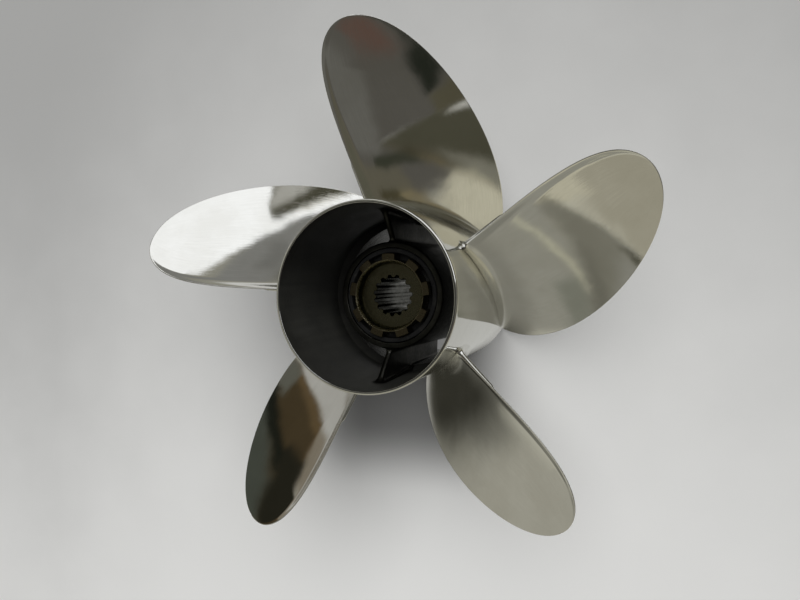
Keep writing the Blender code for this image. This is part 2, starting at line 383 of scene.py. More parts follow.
# THE BLADES
# Five equal blades, cast with the barrel in stainless steel and polished by hand to a mirror. Each drive
# face is a raked helicoid with a cup along its trailing edge, and a heavy heel where that edge starts.

BLADE_COUNT = 5
BLADE_PHASE = radians(17.9)
BLADE_FOOT = BARREL_RADIUS + 0.0006
BLADE_TIP = 0.1778
PITCH = 0.694
PITCH_FALL = 0.129
MID_RADIUS = 0.110
MID_HEIGHT = 0.1227
RAKE = 0.411
RAKE_CURVE = 0.414
# Degrees, by powers of the span: half the blade's width, and where its middle lies
HALF_WIDTH_TERMS = (32.1, 2.0, -16.7, 10.1)
CENTRE_TERMS = (-17.4, 17.0, 16.5, -12.3)
FOOT_THICKNESS = 0.0075
TIP_THICKNESS = 0.0020
THICKNESS_FALL = 1.3
SECTION_FULLNESS = 0.8
EDGE_THICKNESS = 0.0008
EDGE_ROUND = 0.0005
HEEL_THICKNESS = 0.0030
HEEL_END = 0.27
HEEL_RUN_OUT = 0.012
HEEL_TAPER = 0.55
CAMBER = 0.012
CUP = 0.0012
CUP_START = 0.935
CUP_AT_FOOT = 0.2
CUP_RUN = 0.25
FILLET_LEADING = 0.0008
FILLET_TRAILING = 0.0036
FILLET_MIDDLE = 0.0080
FILLET_FULLNESS = 0.7
FILLET_STEPS = 10
ROOT_SINK = 0.0004
FOOT_MARGIN = 0.000001
SPAN_STEPS = 88
CHORD_STEPS = 92
BLADE_STROKES = (7.0, 160.0, 1.0)
SATIN_START = 0.02
SATIN_END = 0.42
SATIN_ROUGHNESS = 0.06
SATIN_CLOUDS = 0.09
CORNER_END = 0.04
CORNER_ROUGHNESS = 0.03


def satin_foot(tree, along, cloud, soft):
    """Adds a satin foot, which the wheel doesn't reach right in to. along runs in X from foot to tip."""
    out = split(tree, along)["X"]
    satin = remap(tree, out, SATIN_START, SATIN_END, 1.0, 0.0)
    patchy = calculate(tree, "MULTIPLY_ADD", cloud, SATIN_CLOUDS, SATIN_ROUGHNESS)
    soft = calculate(tree, "MULTIPLY_ADD", satin, patchy, soft)
    return calculate(tree, "ADD", soft, remap(tree, out, 0.0, CORNER_END, CORNER_ROUGHNESS, 0.0))


def polynomial(terms, x):
    return sum(term * x**power for power, term in enumerate(terms))


def span_at(radius):
    """How far out along the blade this is: 0 at its foot and 1 at its tip."""
    return max(0.0, (radius - BLADE_FOOT) / (BLADE_TIP - BLADE_FOOT))


def half_angle(span):
    """Half the angle that the blade takes up, seen along the shaft."""
    return sqrt(max(0.0, 1 - span)) * radians(polynomial(HALF_WIDTH_TERMS, span))


def blade_slope(radius):
    """The angle between the drive face's chord and the plane of turning."""
    pitch = PITCH / (2 * pi) * (1 - PITCH_FALL * (radius - MID_RADIUS) / MID_RADIUS)
    return atan(pitch / radius)


def heel_share(span):
    """1 at the foot of the heavy heel, less along its taper, and 0 after the short step at its end."""
    return min(1.0, max(0.0, (HEEL_END - span) / HEEL_RUN_OUT)) * (1 - HEEL_TAPER * min(1.0, span / HEEL_END))


def blade_thickness(span, chord):
    """The section's own thickness, and never less than its edge's, which the heel makes heavier."""
    thickest = TIP_THICKNESS + (FOOT_THICKNESS - TIP_THICKNESS) * (1 - span) ** THICKNESS_FALL
    edge = EDGE_THICKNESS
    edge += (HEEL_THICKNESS - EDGE_THICKNESS) * heel_share(span) * max(0.0, 2 * chord - 1)
    return edge + max(0.0, thickest - edge) * sin(pi * chord) ** SECTION_FULLNESS


def face_hollow(width, span, chord):
    """How far the drive face lies in front of the helicoid: its camber, and the run up to the cup."""
    cup = CUP * min(1.0, (1 - span) / CUP_RUN, CUP_AT_FOOT + span / CUP_RUN)
    if chord < CUP_START:
        rise = chord / CUP_START
    else:
        rise = (1 + cos(pi * (chord - CUP_START) / (1 - CUP_START))) / 2
    return CAMBER * width * 4 * chord * (1 - chord) + cup * rise


def edge_fullness(radius, width, chord):
    """Rounds the edge all along the outline: the share of the wall's thickness left this near to it."""
    step = 1e-5
    tiny = 1e-9
    outer, inner = (half_angle(span_at(radius + side)) for side in (step, -step))
    slope_run = (outer**2 - inner**2) / (2 * step)
    half = width / 2
    off = abs(chord - 0.5) * width
    scale = (half / max(tiny, half_angle(span_at(radius)))) ** 2
    distance = (half**2 - off**2) / (2 * hypot(off, slope_run * scale / 2) + tiny)
    near = min(1.0, max(0.0, distance / EDGE_ROUND))
    return sqrt(max(0.0, 1 - (1 - near) ** 2))


def section_point(radius, chord, on_back):
    """Where this point of the section lies: along the chord, and aft of it."""
    span = span_at(radius)
    slope = blade_slope(radius)
    width = 2 * half_angle(span) * radius / cos(slope)
    thick = blade_thickness(span, chord)
    full = edge_fullness(radius, width, chord)
    depth = face_hollow(width, span, chord) + thick / 2 * (1 + full if on_back else 1 - full)
    return Vector((chord * width, -depth))


def fillet_size(chord):
    """The root fillet, small at both edges and largest between them."""
    ends = FILLET_LEADING + (FILLET_TRAILING - FILLET_LEADING) * chord
    return ends + FILLET_MIDDLE * sin(pi * chord) ** FILLET_FULLNESS


def laid_out(radius, point):
    """The point as (radius, angle, height above the helicoid)."""
    slope = blade_slope(radius)
    span = span_at(radius)
    leading = radians(polynomial(CENTRE_TERMS, span)) - half_angle(span)
    angle = leading + (point.x * cos(slope) - point.y * sin(slope)) / radius
    return (radius, angle, point.y / cos(slope))


def blade_sheet():
    """One blade laid out flat, foot to tip: X is the radius, Y the angle, Z the height off the helicoid."""
    bm = bmesh.new()
    uv = bm.loops.layers.uv.new("strokes")
    columns = []
    for step in range(2 * CHORD_STEPS):
        on_back = step > CHORD_STEPS
        share = 2 - step / CHORD_STEPS if on_back else step / CHORD_STEPS
        columns.append(((1 - cos(pi * share)) / 2, on_back))
    rows = []
    places = {}

    def row_at(station, radius_of, swell_of):
        """A ring of points round the section, swollen by the fillet across its walls."""
        row = []
        for i, (chord, on_back) in enumerate(columns):
            radius = radius_of(chord)
            point = section_point(radius, chord, on_back)
            swell = swell_of(chord)
            if swell:
                near = [section_point(radius, *columns[(i + n) % len(columns)]) for n in (-1, 1)]
                run = near[1] - near[0]
                point = point + Vector((-run.y, run.x)).normalized() * swell
            row.append(bm.verts.new(laid_out(radius, point)))
            places[row[-1]] = (station, chord)
        rows.append(row)

    for step in range(FILLET_STEPS):
        turn = pi / 2 * step / FILLET_STEPS
        row_at(
            0.0,
            lambda chord: BARREL_RADIUS + fillet_size(chord) * (1 - cos(turn)),
            lambda chord: fillet_size(chord) * (1 - sin(turn)),
        )
    for step in range(SPAN_STEPS):
        share = 1 - (1 - step / SPAN_STEPS) ** 2
        row_at(
            share,
            lambda chord: BARREL_RADIUS
            + fillet_size(chord)
            + share * (BLADE_TIP - BARREL_RADIUS - fillet_size(chord)),
            lambda chord: 0.0,
        )
    sunk = []
    for vert in rows[0]:
        sunk.append(bm.verts.new((BARREL_RADIUS - ROOT_SINK, vert.co.y, vert.co.z)))
        places[sunk[-1]] = places[vert]
    rows.insert(0, sunk)
    # The strip that closes the sunk foot starts and ends with a triangle, where two corners are one
    for j in range(CHORD_STEPS):
        bm.faces.new(list(dict.fromkeys((sunk[j], sunk[j + 1], sunk[-j - 1], sunk[-j]))))
    tip = bm.verts.new(laid_out(BLADE_TIP, section_point(BLADE_TIP, 0.5, False)))
    places[tip] = (1.0, 0.5)
    for row, after in zip(rows, rows[1:]):
        for j in range(len(columns)):
            bm.faces.new((row[j - 1], row[j], after[j], after[j - 1]))
    for j in range(len(columns)):
        bm.faces.new((rows[-1][j - 1], rows[-1][j], tip))
    for face in bm.faces:
        for loop in face.loops:
            loop[uv].uv = places[loop.vert]
    return bm


def end_tree(tree, geometry, metal):
    """Gives the geometry its metal and sends it out of the tree."""
    coated = add_node(tree, "GeometryNodeSetMaterial", Geometry=geometry, Material=metal)
    tree.links.new(coated.outputs[0], tree.nodes.new("NodeGroupOutput").inputs[0])


def winding_tree():
    """Lifts each point of the flat blade onto the raked helicoid, and turns it round the shaft."""
    sizes = ("Pitch", "Pitch Fall", "Mid Radius", "Mid Height", "Rake", "Rake Curve", "Place")
    tree = node_tree(
        "wind_round_shaft",
        {"Geometry": "Geometry", **dict.fromkeys(sizes, "Float"), "Steel": "Material"},
        {"Geometry": "Geometry"},
        "GeometryNodeTree",
    )
    given = tree.nodes.new("NodeGroupInput").outputs
    radius, angle, lift = split(tree, tree.nodes.new("GeometryNodeInputPosition").outputs[0])
    out = calculate(tree, "SUBTRACT", radius, given["Mid Radius"])
    fall = calculate(tree, "DIVIDE", out, given["Mid Radius"])
    fall = calculate(tree, "MULTIPLY", given["Pitch Fall"], fall)
    climb = calculate(tree, "MULTIPLY", given["Pitch"], calculate(tree, "SUBTRACT", 1.0, fall))
    climb = calculate(tree, "DIVIDE", climb, 2 * pi)
    height = calculate(tree, "MULTIPLY_ADD", climb, angle, given["Mid Height"])
    height = calculate(tree, "MULTIPLY_ADD", given["Rake"], out, height)
    square = calculate(tree, "MULTIPLY", out, out)
    height = calculate(tree, "MULTIPLY_ADD", given["Rake Curve"], square, height)
    height = calculate(tree, "ADD", height, lift)
    turn = calculate(tree, "ADD", angle, given["Place"])
    place = add_node(
        tree,
        "ShaderNodeCombineXYZ",
        X=calculate(tree, "MULTIPLY", radius, calculate(tree, "COSINE", turn)),
        Y=calculate(tree, "MULTIPLY", radius, calculate(tree, "SINE", turn)),
        Z=height,
    ).outputs[0]
    moved = add_node(tree, "GeometryNodeSetPosition", Geometry=given["Geometry"], Position=place)
    real = add_node(tree, "GeometryNodeRealizeInstances", Geometry=moved.outputs[0])
    end_tree(tree, real.outputs[0], given["Steel"])
    return tree


def grown(name, mesh, tree, values):
    """The mesh with the tree's result applied, its inputs set by name."""
    guide = put_in_scene(name + "_guide", mesh)
    modifier = guide.modifiers.new("grow", "NODES")
    modifier.node_group = tree
    for item in tree.interface.items_tree:
        if item.in_out == "INPUT" and item.name in values:
            modifier[item.identifier] = values[item.name]
    evaluated = guide.evaluated_get(bpy.context.evaluated_depsgraph_get())
    result = bpy.data.meshes.new_from_object(evaluated)
    bpy.data.objects.remove(guide)
    result.name = name
    return result


blade_steel = polished_steel("polished_blade", BLADE_STROKES, "strokes", satin_foot)
flat_blade = mesh_of("blade_sheet", blade_sheet())
winding = winding_tree()
for number in range(BLADE_COUNT):
    name = f"blade_{number + 1}"
    shape = grown(
        name + "_polished",
        flat_blade,
        winding,
        {
            "Pitch": PITCH,
            "Pitch Fall": PITCH_FALL,
            "Mid Radius": MID_RADIUS,
            "Mid Height": MID_HEIGHT,
            "Rake": RAKE,
            "Rake Curve": RAKE_CURVE,
            "Place": BLADE_PHASE + 2 * pi * number / BLADE_COUNT,
            "Steel": blade_steel,
        },
    )
    shape.shade_smooth()
    bm = bmesh.new()
    bm.from_mesh(shape)
    bmesh.ops.recalc_face_normals(bm, faces=bm.faces)
    for edge in bm.edges:
        edge.smooth = max(vert.co.xy.length for vert in edge.verts) > BARREL_RADIUS + FOOT_MARGIN
    bm.to_mesh(shape)
    bm.free()
    fit(put_in_scene(name + "_polished", shape), name)


# THE INNER HUB AND ITS RIBS
# Cast with the barrel and left as it came from the mould, then dulled by the exhaust. Two ribs carry the
# hub in the barrel, with a cast fillet at both ends, and their aft edges sweep aft towards the barrel.

HUB_FRONT = 0.026
HUB_AFT = 0.134
HUB_AFT_RADIUS = 0.0360
HUB_FRONT_RADIUS = 0.0385
HUB_BORE = 0.0320
HUB_SEAT = 0.044
HUB_SHAFT_HOLE = 0.0205
RIB_ANGLES = {"rib_upper": 88.0, "rib_lower": 268.0}
RIB_THICKNESS = 0.004
RIB_SWEEP = 0.019
RIB_FILLET = 0.003
RIB_HUB_SINK = 0.0004
RIB_BARREL_SINK = 0.0003
RIB_STATIONS = 28
RIB_EDGE_STEPS = 10
SOOTY_CASTING = (0.048, 0.048, 0.042)
BARE_CASTING = (0.117, 0.115, 0.10)
CASTING_ROUGHNESS = (0.28, 0.42)


def cast_steel():
    """Cast stainless, sooty and satin, with a faint pebbled skin."""
    material, tree, shader, place = new_material("cast_stainless_skin")
    pebbles = noise(tree, place, scale=420.0, detail=3.0, roughness=0.6)
    bare = patches(tree, place, scale=45.0, detail=5.0, roughness=0.65)
    tree.links.new(blend_colour(tree, bare, SOOTY_CASTING, BARE_CASTING), shader.inputs["Base Color"])
    soft = remap(tree, pebbles, NOISE_LOW, NOISE_HIGH, *CASTING_ROUGHNESS)
    tree.links.new(soft, shader.inputs["Roughness"])
    bump(tree, shader, pebbles, distance=0.0003, strength=0.35)
    return material


def bore_at(height):
    """The barrel's inside radius, which the ribs reach."""
    if height >= SHOULDER_AFT:
        return AFT_BORE
    if height >= SHOULDER_FRONT:
        share = (height - SHOULDER_FRONT) / (SHOULDER_AFT - SHOULDER_FRONT)
        return SHOULDER_RADIUS + share * (AFT_BORE - SHOULDER_RADIUS)
    return FRONT_BORE + (SHOULDER_RADIUS - FRONT_BORE) * height / SHOULDER_FRONT


def hub_radius_at(height):
    share = (height - HUB_FRONT) / (HUB_AFT - HUB_FRONT)
    return HUB_FRONT_RADIUS + share * (HUB_AFT_RADIUS - HUB_FRONT_RADIUS)


def flare(distance):
    """How far a cast fillet swells a wall at this distance from what it joins."""
    if distance >= RIB_FILLET:
        return 0.0
    return RIB_FILLET - sqrt(RIB_FILLET**2 - (RIB_FILLET - distance) ** 2)


def rib_mesh(angle):
    """Stadium-shaped loops, one at each station from the hub out to the barrel."""
    bm = bmesh.new()
    loops = []
    for step in range(RIB_STATIONS + 1):
        share = (1 - cos(pi * step / RIB_STATIONS)) / 2
        aft = HUB_AFT + RIB_SWEEP * share
        reach = AFT_BORE - HUB_AFT_RADIUS
        swell = flare(share * reach) + flare((1 - share) * reach)
        half = RIB_THICKNESS / 2 + swell
        ends = []
        for k in range(RIB_EDGE_STEPS + 1):
            turn = pi * k / RIB_EDGE_STEPS
            ends.append((half * cos(turn), aft - RIB_THICKNESS / 2 + half * sin(turn)))
        for height in (SHOULDER_AFT, SHOULDER_FRONT, HUB_FRONT):
            ends.append((-half, height))
        for height in (HUB_FRONT, SHOULDER_FRONT, SHOULDER_AFT):
            ends.append((half, height))
        loop = []
        for across, height in ends:
            low = min(max(height, HUB_FRONT), HUB_AFT)
            inner = hub_radius_at(low) - RIB_HUB_SINK
            out = inner + share * (bore_at(height) + RIB_BARREL_SINK - inner)
            x = out * cos(angle) - across * sin(angle)
            y = out * sin(angle) + across * cos(angle)
            loop.append(bm.verts.new((x, y, height)))
        loops.append(loop)
    for loop, after in zip(loops, loops[1:]):
        for j in range(len(loop)):
            bm.faces.new((loop[j - 1], loop[j], after[j], after[j - 1]))
    bm.faces.new(loops[0])
    bm.faces.new(loops[-1])
    return bm


cast_skin = cast_steel()
hub_outline = rounded(
    [
        (HUB_SHAFT_HOLE, HUB_FRONT, 0.0008),
        (HUB_FRONT_RADIUS, HUB_FRONT, 0.0015),
        (HUB_AFT_RADIUS, HUB_AFT, 0.0012),
        (HUB_BORE, HUB_AFT, 0.0006),
        (HUB_BORE, HUB_SEAT, 0.0008),
        (HUB_SHAFT_HOLE, HUB_SEAT, 0.0008),
    ]
)
inner_hub = turned("inner_hub_cast", hub_outline, [cast_skin])
fit(inner_hub, "inner_hub")
for name, angle in RIB_ANGLES.items():
    rib = finished(name + "_cast", rib_mesh(radians(angle)), [cast_skin])
    fit(rib, name)


# THE DRIVE SLEEVE
# A thick sleeve of black moulded plastic, pushed into the hub. It carries the adapter, whose lugs sit in
# an open pocket at its aft end, and it gives way if a blade strikes something.

FIT_GAP = 0.0003
SLEEVE_FRONT = HUB_SEAT + FIT_GAP
SLEEVE_RADIUS = HUB_BORE - FIT_GAP
SLEEVE_POCKET_RADIUS = 0.0286
SLEEVE_POCKET_DEPTH = 0.0075
ADAPTER_TUBE = 0.0240
BLACK_PLASTIC = (0.012, 0.012, 0.012)
DUST = (0.06, 0.058, 0.05)
DUST_SHARE = 0.5
PLASTIC_GLOSS = 0.3
PLASTIC_ROUGHNESS = (0.34, 0.6)


def moulded_plastic():
    """Black moulded plastic, a little glossy, dusty in its pits."""
    material, tree, shader, place = new_material("black_moulded_plastic", metallic=0.0)
    shader.inputs["Specular IOR Level"].default_value = PLASTIC_GLOSS
    dust = patches(tree, place, scale=120.0, detail=5.0, roughness=0.7, low=0.5, high=0.8)
    thin_dust = calculate(tree, "MULTIPLY", dust, DUST_SHARE)
    tree.links.new(blend_colour(tree, thin_dust, BLACK_PLASTIC, DUST), shader.inputs["Base Color"])
    tree.links.new(remap(tree, dust, 0.0, 1.0, *PLASTIC_ROUGHNESS), shader.inputs["Roughness"])
    bump(tree, shader, noise(tree, place, scale=1400.0, detail=2.0), distance=0.0001, strength=0.4)
    return material


pocket_floor = HUB_AFT - SLEEVE_POCKET_DEPTH
sleeve_outline = rounded(
    [
        (ADAPTER_TUBE + FIT_GAP, SLEEVE_FRONT, 0.0005),
        (SLEEVE_RADIUS, SLEEVE_FRONT, 0.0005),
        (SLEEVE_RADIUS, HUB_AFT, 0.0012),
        (SLEEVE_POCKET_RADIUS, HUB_AFT, 0.0006),
        (SLEEVE_POCKET_RADIUS, pocket_floor, 0.0008),
        (ADAPTER_TUBE + FIT_GAP, pocket_floor, 0.0003),
    ]
)
sleeve = turned("drive_sleeve_moulded", sleeve_outline, [moulded_plastic()])
fit(sleeve, "drive_sleeve")


# THE SPLINED ADAPTER
# A bronze ring with nine driving lugs, a stepped recess for the thrust washer and a splined hole for the
# shaft. Its lugs and teeth are each one wedge, repeated round the axis.

ADAPTER_AFT = 0.139
ADAPTER_FRONT = SLEEVE_FRONT + FIT_GAP
LUG_COUNT = 9
LUG_PHASE = radians(10.5)
LUG_HALF_ANGLE = radians(9.5)
LUG_RADIUS = 0.0282
LUG_ROOT_RADIUS = 0.0243
LUG_CORNER = 0.0006
RECESS_RADIUS = 0.0227
RECESS_FLOOR_RADIUS = 0.0216
RECESS_FLOOR = ADAPTER_AFT - 0.008
SPLINE_COUNT = 15
SPLINE_MAJOR = 0.0137
SPLINE_MINOR = 0.0120
GROOVE_END = 0.32
TOOTH_START = 0.50
TOOTH_END = 0.82
EDGE_BREAK = 0.0004
RECESS_CHAMFER = 0.0008
WORN_EDGE = 0.0006
# Heights between which the teeth go from painted light at the front end to painted shade aft
TEETH_BRIGHT = 0.070
TEETH_DARK = 0.118
SEAM = 0.0180
SEAM_STEPS = 720
JOIN_WITHIN = 0.000001
LUG_BRONZE = (0.245, 0.205, 0.13)
LUG_TARNISH = (0.15, 0.12, 0.072)
RECESS_BRONZE = (0.25, 0.233, 0.147)
RECESS_TARNISH = (0.175, 0.16, 0.098)
WORN_AND_HIGHLIT_BRONZE = (0.60, 0.54, 0.36)
RECESS_WALL_SHADE = (0.085, 0.088, 0.055)
TEETH_LIT_GREY = (0.66, 0.66, 0.61)
TEETH_SHADED = (0.060, 0.060, 0.052)
TEETH_GREASE = (0.10, 0.098, 0.085)
TEETH_GREASE_SHARE = 0.5
TEETH_SMOOTHNESS = 0.55
BRONZE_ROUGHNESS = (0.26, 0.44)
BRONZE_GRAIN = (600.0, 600.0, 2600.0)


def repeat_tree():
    """Repeats a wedge round the shaft axis and joins the copies into one ring."""
    tree = node_tree(
        "repeat_round_shaft",
        {
            "Geometry": "Geometry",
            "Count": "Int",
            "Phase": "Float",
            "Join Within": "Float",
            "Metal": "Material",
        },
        {"Geometry": "Geometry"},
        "GeometryNodeTree",
    )
    given = tree.nodes.new("NodeGroupInput").outputs
    spots = add_node(tree, "GeometryNodePoints", Count=given["Count"])
    step = calculate(tree, "DIVIDE", 2 * pi, given["Count"])
    index = tree.nodes.new("GeometryNodeInputIndex").outputs[0]
    turn = calculate(tree, "MULTIPLY_ADD", index, step, given["Phase"])
    spin = add_node(tree, "ShaderNodeCombineXYZ", Z=turn)
    copies = add_node(
        tree,
        "GeometryNodeInstanceOnPoints",
        Points=spots.outputs[0],
        Instance=given["Geometry"],
        Rotation=spin.outputs[0],
    )
    real = add_node(tree, "GeometryNodeRealizeInstances", Geometry=copies.outputs[0]).outputs[0]
    joined = add_node(tree, "GeometryNodeMergeByDistance", Geometry=real, Distance=given["Join Within"])
    end_tree(tree, joined.outputs[0], given["Metal"])
    return tree


def from_axis(tree, across):
    """The distance from the shaft axis, from a split place."""
    square = calculate(tree, "MULTIPLY", across["Y"], across["Y"])
    return calculate(tree, "SQRT", calculate(tree, "MULTIPLY_ADD", across["X"], across["X"], square))


def adapter_bronze():
    """Bronze dulled brown by exhaust, with painted shade on the recess wall, worn bronze and a painted
    highlight at the recess edge, and grey teeth in painted light at the front end and painted shade aft.
    """
    material, tree, shader, place = new_material("dulled_bronze")
    tarnish = patches(tree, place, scale=150.0, detail=5.0, roughness=0.65)
    across = split(tree, place)
    out = from_axis(tree, across)
    lugs = blend_colour(tree, tarnish, LUG_BRONZE, LUG_TARNISH)
    recess = blend_colour(tree, tarnish, RECESS_BRONZE, RECESS_TARNISH)
    outside = remap(tree, out, RECESS_RADIUS, RECESS_RADIUS + WORN_EDGE, 0.0, 1.0)
    colour = blend_colour(tree, outside, recess, lugs)
    # Painted shade: the recess wall is darkened all round, where shade falls inside the recess.
    wall_middle = (RECESS_FLOOR_RADIUS + RECESS_RADIUS) / 2
    half_wall = (RECESS_RADIUS - RECESS_FLOOR_RADIUS) / 2
    off_wall = calculate(tree, "ABSOLUTE", calculate(tree, "SUBTRACT", out, wall_middle))
    painted_wall_shade = remap(tree, off_wall, half_wall - EDGE_BREAK / 2, half_wall, 1.0, 0.0)
    colour = blend_colour(tree, painted_wall_shade, colour, RECESS_WALL_SHADE)
    # Worn bronze and a painted highlight: a bright ring along the recess chamfer.
    chamfer_middle = RECESS_RADIUS + RECESS_CHAMFER / 2
    off_edge = calculate(tree, "ABSOLUTE", calculate(tree, "SUBTRACT", out, chamfer_middle))
    worn_and_highlit = remap(tree, off_edge, RECESS_CHAMFER / 2, RECESS_CHAMFER, 1.0, 0.0)
    colour = blend_colour(tree, worn_and_highlit, colour, WORN_AND_HIGHLIT_BRONZE)
    # Painted light and shade: the teeth are lit grey towards the front end and shaded dark towards the aft
    # end.
    teeth_lit_share = remap(tree, across["Z"], TEETH_BRIGHT, TEETH_DARK, 1.0, 0.0)
    teeth = blend_colour(tree, teeth_lit_share, TEETH_SHADED, TEETH_LIT_GREY)
    grease = calculate(tree, "MULTIPLY", tarnish, TEETH_GREASE_SHARE)
    teeth = blend_colour(tree, grease, teeth, TEETH_GREASE)
    in_hole = remap(tree, out, SPLINE_MAJOR, SPLINE_MAJOR + WORN_EDGE, 1.0, 0.0)
    below_floor = remap(tree, across["Z"], RECESS_FLOOR - EDGE_BREAK, RECESS_FLOOR, 1.0, 0.0)
    in_hole = calculate(tree, "MULTIPLY", in_hole, below_floor)
    tree.links.new(blend_colour(tree, in_hole, colour, teeth), shader.inputs["Base Color"])
    soft = remap(tree, tarnish, 0.0, 1.0, *BRONZE_ROUGHNESS)
    smoothed = calculate(tree, "MULTIPLY_ADD", in_hole, -TEETH_SMOOTHNESS, 1.0)
    tree.links.new(calculate(tree, "MULTIPLY", soft, smoothed), shader.inputs["Roughness"])
    grain = noise(tree, stretched(tree, place, BRONZE_GRAIN), scale=1.0)
    grain = calculate(tree, "MULTIPLY", grain, calculate(tree, "SUBTRACT", 1.0, in_hole))
    bump(tree, shader, grain, distance=0.0001, strength=0.4)
    return material


def eased(x):
    """A smooth step from 0 to 1."""
    x = min(1.0, max(0.0, x))
    return x * x * (3 - 2 * x)


def lug_radius(angle):
    """The ring's outer radius at this angle from the middle of a lug."""
    flank = (LUG_HALF_ANGLE - abs(angle)) * LUG_RADIUS / LUG_CORNER
    return LUG_ROOT_RADIUS + (LUG_RADIUS - LUG_ROOT_RADIUS) * eased(flank + 0.5)


def tooth_radius(share):
    """The hole's radius at this share of the way from one groove to the next."""
    if share < GROOVE_END:
        return SPLINE_MAJOR
    depth = SPLINE_MAJOR - SPLINE_MINOR
    if share < TOOTH_START:
        return SPLINE_MAJOR - depth * (share - GROOVE_END) / (TOOTH_START - GROOVE_END)
    if share < TOOTH_END:
        return SPLINE_MINOR
    return SPLINE_MINOR + depth * (share - TOOTH_END) / (1 - TOOTH_END)


def wedge(angles, outline_at):
    """A strip of surface between the first and the last angle, with an outline at each."""
    bm = bmesh.new()
    rows = []
    for angle in angles:
        rows.append([bm.verts.new((r * cos(angle), r * sin(angle), z)) for r, z in outline_at(angle)])
    for row, after in zip(rows, rows[1:]):
        for j in range(1, len(row)):
            bm.faces.new((row[j - 1], row[j], after[j], after[j - 1]))
    return mesh_of("wedge", bm)


def lug_outline(angle):
    """From the seam on the recess floor, out over the lug, and down behind it and the tube to the seam."""
    outer = lug_radius(angle)
    underside = pocket_floor + FIT_GAP
    return [
        (SEAM, RECESS_FLOOR),
        (RECESS_FLOOR_RADIUS - EDGE_BREAK, RECESS_FLOOR),
        (RECESS_FLOOR_RADIUS, RECESS_FLOOR + EDGE_BREAK),
        (RECESS_RADIUS, ADAPTER_AFT - RECESS_CHAMFER),
        (RECESS_RADIUS + RECESS_CHAMFER, ADAPTER_AFT),
        (outer - EDGE_BREAK, ADAPTER_AFT),
        (outer, ADAPTER_AFT - EDGE_BREAK),
        (outer, underside + EDGE_BREAK),
        (outer - EDGE_BREAK, underside),
        (ADAPTER_TUBE, underside),
        (ADAPTER_TUBE, ADAPTER_FRONT + EDGE_BREAK),
        (ADAPTER_TUBE - EDGE_BREAK, ADAPTER_FRONT),
        (SEAM, ADAPTER_FRONT),
    ]


def spline_outline(angle):
    """From the seam at the front end, up a groove or a tooth, to the seam on the recess floor."""
    inner = tooth_radius(angle * SPLINE_COUNT / (2 * pi) % 1.0)
    return [
        (SEAM, ADAPTER_FRONT),
        (inner + EDGE_BREAK, ADAPTER_FRONT),
        (inner, ADAPTER_FRONT + EDGE_BREAK),
        (inner, RECESS_FLOOR - EDGE_BREAK),
        (inner + EDGE_BREAK, RECESS_FLOOR),
        (SEAM, RECESS_FLOOR),
    ]


bronze = adapter_bronze()
repeating = repeat_tree()


def adapter_ring(name, count, phase, outline_at, start):
    """A ring of equal wedges. Each has the same steps at the seam, and starts at this share of its turn."""
    steps = SEAM_STEPS // count
    angles = [2 * pi / count * (k / steps + start) for k in range(steps + 1)]
    values = {"Count": count, "Phase": phase, "Join Within": JOIN_WITHIN, "Metal": bronze}
    return grown(name, wedge(angles, outline_at), repeating, values)


ring = bmesh.new()
ring.from_mesh(adapter_ring("lug_ring", LUG_COUNT, LUG_PHASE, lug_outline, -0.5))
ring.from_mesh(adapter_ring("spline_ring", SPLINE_COUNT, 0.0, spline_outline, 0.0))
bmesh.ops.remove_doubles(ring, verts=ring.verts, dist=JOIN_WITHIN)
adapter = finished("splined_adapter_bronze", ring, [bronze])
fit(adapter, "splined_adapter")


# THE STAGE
# A pale floor with painted shade, a painted shadow and painted glow, under soft studio light, with the camera
# above and to the right of the shaft axis.
# The light comes from all round and isn't even: polished steel shows only what stands round it.

CAMERA_PLACE = (0.1492, 0.01106, 0.5345)
CAMERA_RIGHT = (0.9418, -0.0040, -0.3361)
CAMERA_UP = (-0.0073, 0.9994, -0.0324)
CAMERA_BACK = (0.3360, 0.0330, 0.9413)
FOCAL_PIXELS = 639.5
IMAGE_WIDTH = 800
SENSOR_WIDTH = 36.0
NEAREST_SEEN = 0.01
FLOOR_HALF = 4.0
# Glow of each floor piece: painted light, not a lamp
FLOOR_GLOW = 0.015
HUB_GLOW = 0.17
SHAFT_HOLE_GLOW = 0.09
FLOOR_STEPS = 96
PAPER_IN_PAINTED_SHADE = (0.47, 0.47, 0.46)
PAPER_IN_FULL_LIGHT = (0.90, 0.90, 0.88)
PAPER_WHITENESS = 0.66
PAPER_ROUGHNESS = 0.9
GLOW_COLOUR = (1.0, 1.0, 0.98)
SIDE_FALL = 1.8
SIDE_LIMIT = 0.2
BACK_FALL = 1.2
BACK_LIMIT = 0.35
MOTTLE = 0.14
PAPER_EVEN_FROM = 0.5
PAPER_EVEN_TO = 1.8
FAR_WHITENESS = 0.7
SHADE_MIDDLE = -0.035
SHADE_HALF_WIDTH = 0.038
SHADE_FADE = 0.066
SHADE_REACH = 0.182
SHADE_DEPTH = 0.72
LAMP_WAY = (0.34, 0.44, 1.00)
LAMP_SPREAD = radians(54)
LAMP_POWER = 2.25


